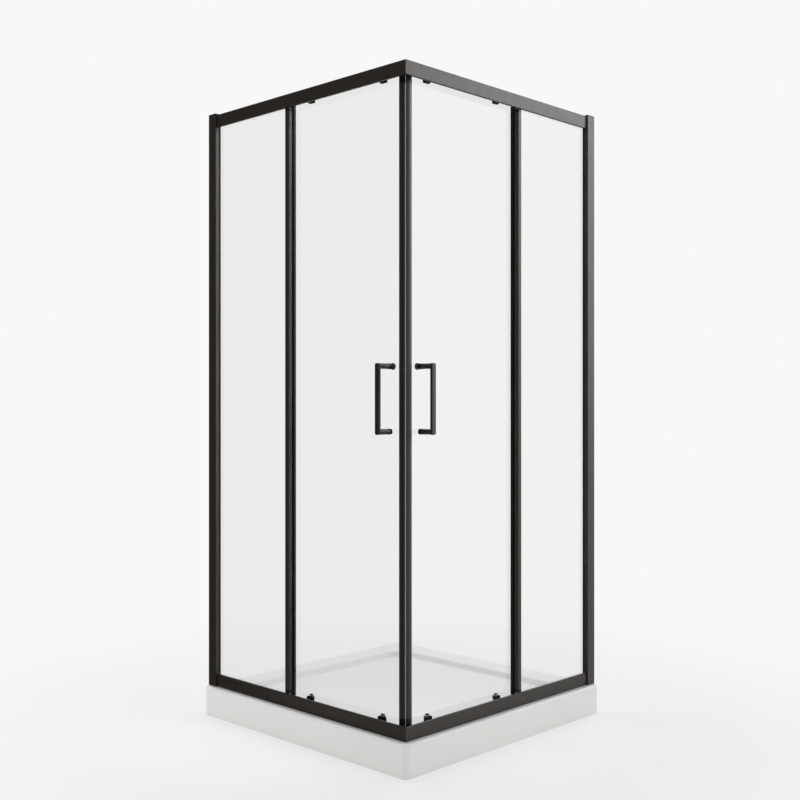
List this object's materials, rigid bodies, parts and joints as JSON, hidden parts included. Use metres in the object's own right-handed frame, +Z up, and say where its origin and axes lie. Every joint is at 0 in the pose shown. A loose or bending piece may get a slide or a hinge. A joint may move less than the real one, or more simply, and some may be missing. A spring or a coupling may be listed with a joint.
{
  "type": "corner-entry sliding shower enclosure",
  "caption": "Square corner-entry shower enclosure with black frame, clear fixed panes, sliding glass doors that meet at the corner, bar handles and a low white tray.",
  "frame": {"origin": "middle of the tray's underside, on the floor", "axes": "+Z up; the front glazed side lies at -Y and the other glazed side at +X; the walls stand at -X and +Y"},
  "size_m": [0.9037, 0.9037, 1.9274],
  "materials": {
    "frame_black": "satin black coating on extruded profiles",
    "handle_black": "satin black coating",
    "clear_glass": "clear toughened glass",
    "tray_white": "white gloss acrylic",
    "black_plastic": "black moulded plastic",
    "magnet_black": "smooth black magnetic seal",
    "seal_black": "matt black seal",
    "seal_clear": "clear soft plastic",
    "wheel_nylon": "white nylon",
    "screw_steel": "plain stainless steel",
    "bracket_grey": "plain cast angle",
    "waste_chrome": "polished cover",
    "feet_grey": "grey moulded feet"
  },
  "bodies": {
    "frame": {"tray": "tray_white", "tray_feet": "feet_grey", "waste_cover": "waste_chrome", "corner_brackets": "bracket_grey", "frame_screws": "screw_steel", "profile_caps": "black_plastic", "glazing_gaskets": "seal_black", "fixed_stile_caps": "black_plastic", "stile_brushes": "seal_black", "door_buffers": "seal_black", "front_top_rail": "frame_black", "front_bottom_rail": "frame_black", "front_wall_profile": "frame_black", "front_jamb": "frame_black", "front_fixed_glass": "clear_glass", "front_fixed_stile": "frame_black", "side_top_rail": "frame_black", "side_bottom_rail": "frame_black", "side_wall_profile": "frame_black", "side_jamb": "frame_black", "side_fixed_glass": "clear_glass", "side_fixed_stile": "frame_black"},
    "front_door": {"front_door_glass": "clear_glass", "front_leading_stile": "frame_black", "front_leading_stile_caps": "black_plastic", "front_magnet_strip": "magnet_black", "front_trailing_stile": "frame_black", "front_drip_seal": "seal_clear", "front_handle": "handle_black", "front_handle_fixings": "handle_black", "front_handle_bushes": "seal_black", "front_roller_clamps": "black_plastic", "front_roller_bodies": "black_plastic", "front_release_spring_near": "screw_steel", "front_release_spring_far": "screw_steel"},
    "front_top_wheel_near": {"front_top_wheel_near": "wheel_nylon"},
    "front_release_near": {"front_release_near": "black_plastic"},
    "front_bottom_wheel_near": {"front_bottom_wheel_near": "wheel_nylon"},
    "front_top_wheel_far": {"front_top_wheel_far": "wheel_nylon"},
    "front_release_far": {"front_release_far": "black_plastic"},
    "front_bottom_wheel_far": {"front_bottom_wheel_far": "wheel_nylon"},
    "side_door": {"side_door_glass": "clear_glass", "side_leading_stile": "frame_black", "side_leading_stile_caps": "black_plastic", "side_magnet_strip": "magnet_black", "side_trailing_stile": "frame_black", "side_drip_seal": "seal_clear", "side_handle": "handle_black", "side_handle_fixings": "handle_black", "side_handle_bushes": "seal_black", "side_roller_clamps": "black_plastic", "side_roller_bodies": "black_plastic", "side_release_spring_near": "screw_steel", "side_release_spring_far": "screw_steel"},
    "side_top_wheel_near": {"side_top_wheel_near": "wheel_nylon"},
    "side_release_near": {"side_release_near": "black_plastic"},
    "side_bottom_wheel_near": {"side_bottom_wheel_near": "wheel_nylon"},
    "side_top_wheel_far": {"side_top_wheel_far": "wheel_nylon"},
    "side_release_far": {"side_release_far": "black_plastic"},
    "side_bottom_wheel_far": {"side_bottom_wheel_far": "wheel_nylon"}
  },
  "joints": [
    {"name": "front_door_slide", "type": "slide", "parent": "frame", "child": "front_door", "axis": [-1, 0, 0], "range_m": [0, 0.32]},
    {"name": "front_top_wheel_near_roll", "type": "hinge", "parent": "front_door", "child": "front_top_wheel_near", "pos_m": [0.319, -0.3923, 1.9107], "axis": [0, -1, 0], "range_deg": [-10, 2400]},
    {"name": "front_release_near_push", "type": "slide", "parent": "front_door", "child": "front_release_near", "axis": [0, 0, -1], "range_m": [0, 0.003], "stiffness_N_per_m": 600, "springref_m": -0.004, "deforming": ["front_release_spring_near"]},
    {"name": "front_bottom_wheel_near_roll", "type": "hinge", "parent": "front_release_near", "child": "front_bottom_wheel_near", "pos_m": [0.303, -0.3923, 0.1069], "axis": [0, 1, 0], "range_deg": [-10, 3075]},
    {"name": "front_top_wheel_far_roll", "type": "hinge", "parent": "front_door", "child": "front_top_wheel_far", "pos_m": [0.01921, -0.3923, 1.9107], "axis": [0, -1, 0], "range_deg": [-10, 2400]},
    {"name": "front_release_far_push", "type": "slide", "parent": "front_door", "child": "front_release_far", "axis": [0, 0, -1], "range_m": [0, 0.003], "stiffness_N_per_m": 600, "springref_m": -0.004, "deforming": ["front_release_spring_far"]},
    {"name": "front_bottom_wheel_far_roll", "type": "hinge", "parent": "front_release_far", "child": "front_bottom_wheel_far", "pos_m": [0.00321, -0.3923, 0.1069], "axis": [0, 1, 0], "range_deg": [-10, 3075]},
    {"name": "side_door_slide", "type": "slide", "parent": "frame", "child": "side_door", "axis": [0, 1, 0], "range_m": [0, 0.32]},
    {"name": "side_top_wheel_near_roll", "type": "hinge", "parent": "side_door", "child": "side_top_wheel_near", "pos_m": [0.3923, -0.319, 1.9107], "axis": [-1, 0, 0], "range_deg": [-10, 2400]},
    {"name": "side_release_near_push", "type": "slide", "parent": "side_door", "child": "side_release_near", "axis": [0, 0, -1], "range_m": [0, 0.003], "stiffness_N_per_m": 600, "springref_m": -0.004, "deforming": ["side_release_spring_near"]},
    {"name": "side_bottom_wheel_near_roll", "type": "hinge", "parent": "side_release_near", "child": "side_bottom_wheel_near", "pos_m": [0.3923, -0.303, 0.1069], "axis": [1, 0, 0], "range_deg": [-10, 3075]},
    {"name": "side_top_wheel_far_roll", "type": "hinge", "parent": "side_door", "child": "side_top_wheel_far", "pos_m": [0.3923, -0.01921, 1.9107], "axis": [-1, 0, 0], "range_deg": [-10, 2400]},
    {"name": "side_release_far_push", "type": "slide", "parent": "side_door", "child": "side_release_far", "axis": [0, 0, -1], "range_m": [0, 0.003], "stiffness_N_per_m": 600, "springref_m": -0.004, "deforming": ["side_release_spring_far"]},
    {"name": "side_bottom_wheel_far_roll", "type": "hinge", "parent": "side_release_far", "child": "side_bottom_wheel_far", "pos_m": [0.3923, -0.00321, 0.1069], "axis": [1, 0, 0], "range_deg": [-10, 3075]}
  ],
  "couplings": [
    {"joint": "front_top_wheel_near_roll", "follows": "front_door_slide", "rad_per_m": 129.87},
    {"joint": "front_bottom_wheel_near_roll", "follows": "front_door_slide", "rad_per_m": 166.67},
    {"joint": "front_top_wheel_far_roll", "follows": "front_door_slide", "rad_per_m": 129.87},
    {"joint": "front_bottom_wheel_far_roll", "follows": "front_door_slide", "rad_per_m": 166.67},
    {"joint": "side_top_wheel_near_roll", "follows": "side_door_slide", "rad_per_m": 129.87},
    {"joint": "side_bottom_wheel_near_roll", "follows": "side_door_slide", "rad_per_m": 166.67},
    {"joint": "side_top_wheel_far_roll", "follows": "side_door_slide", "rad_per_m": 129.87},
    {"joint": "side_bottom_wheel_far_roll", "follows": "side_door_slide", "rad_per_m": 166.67}
  ]
}
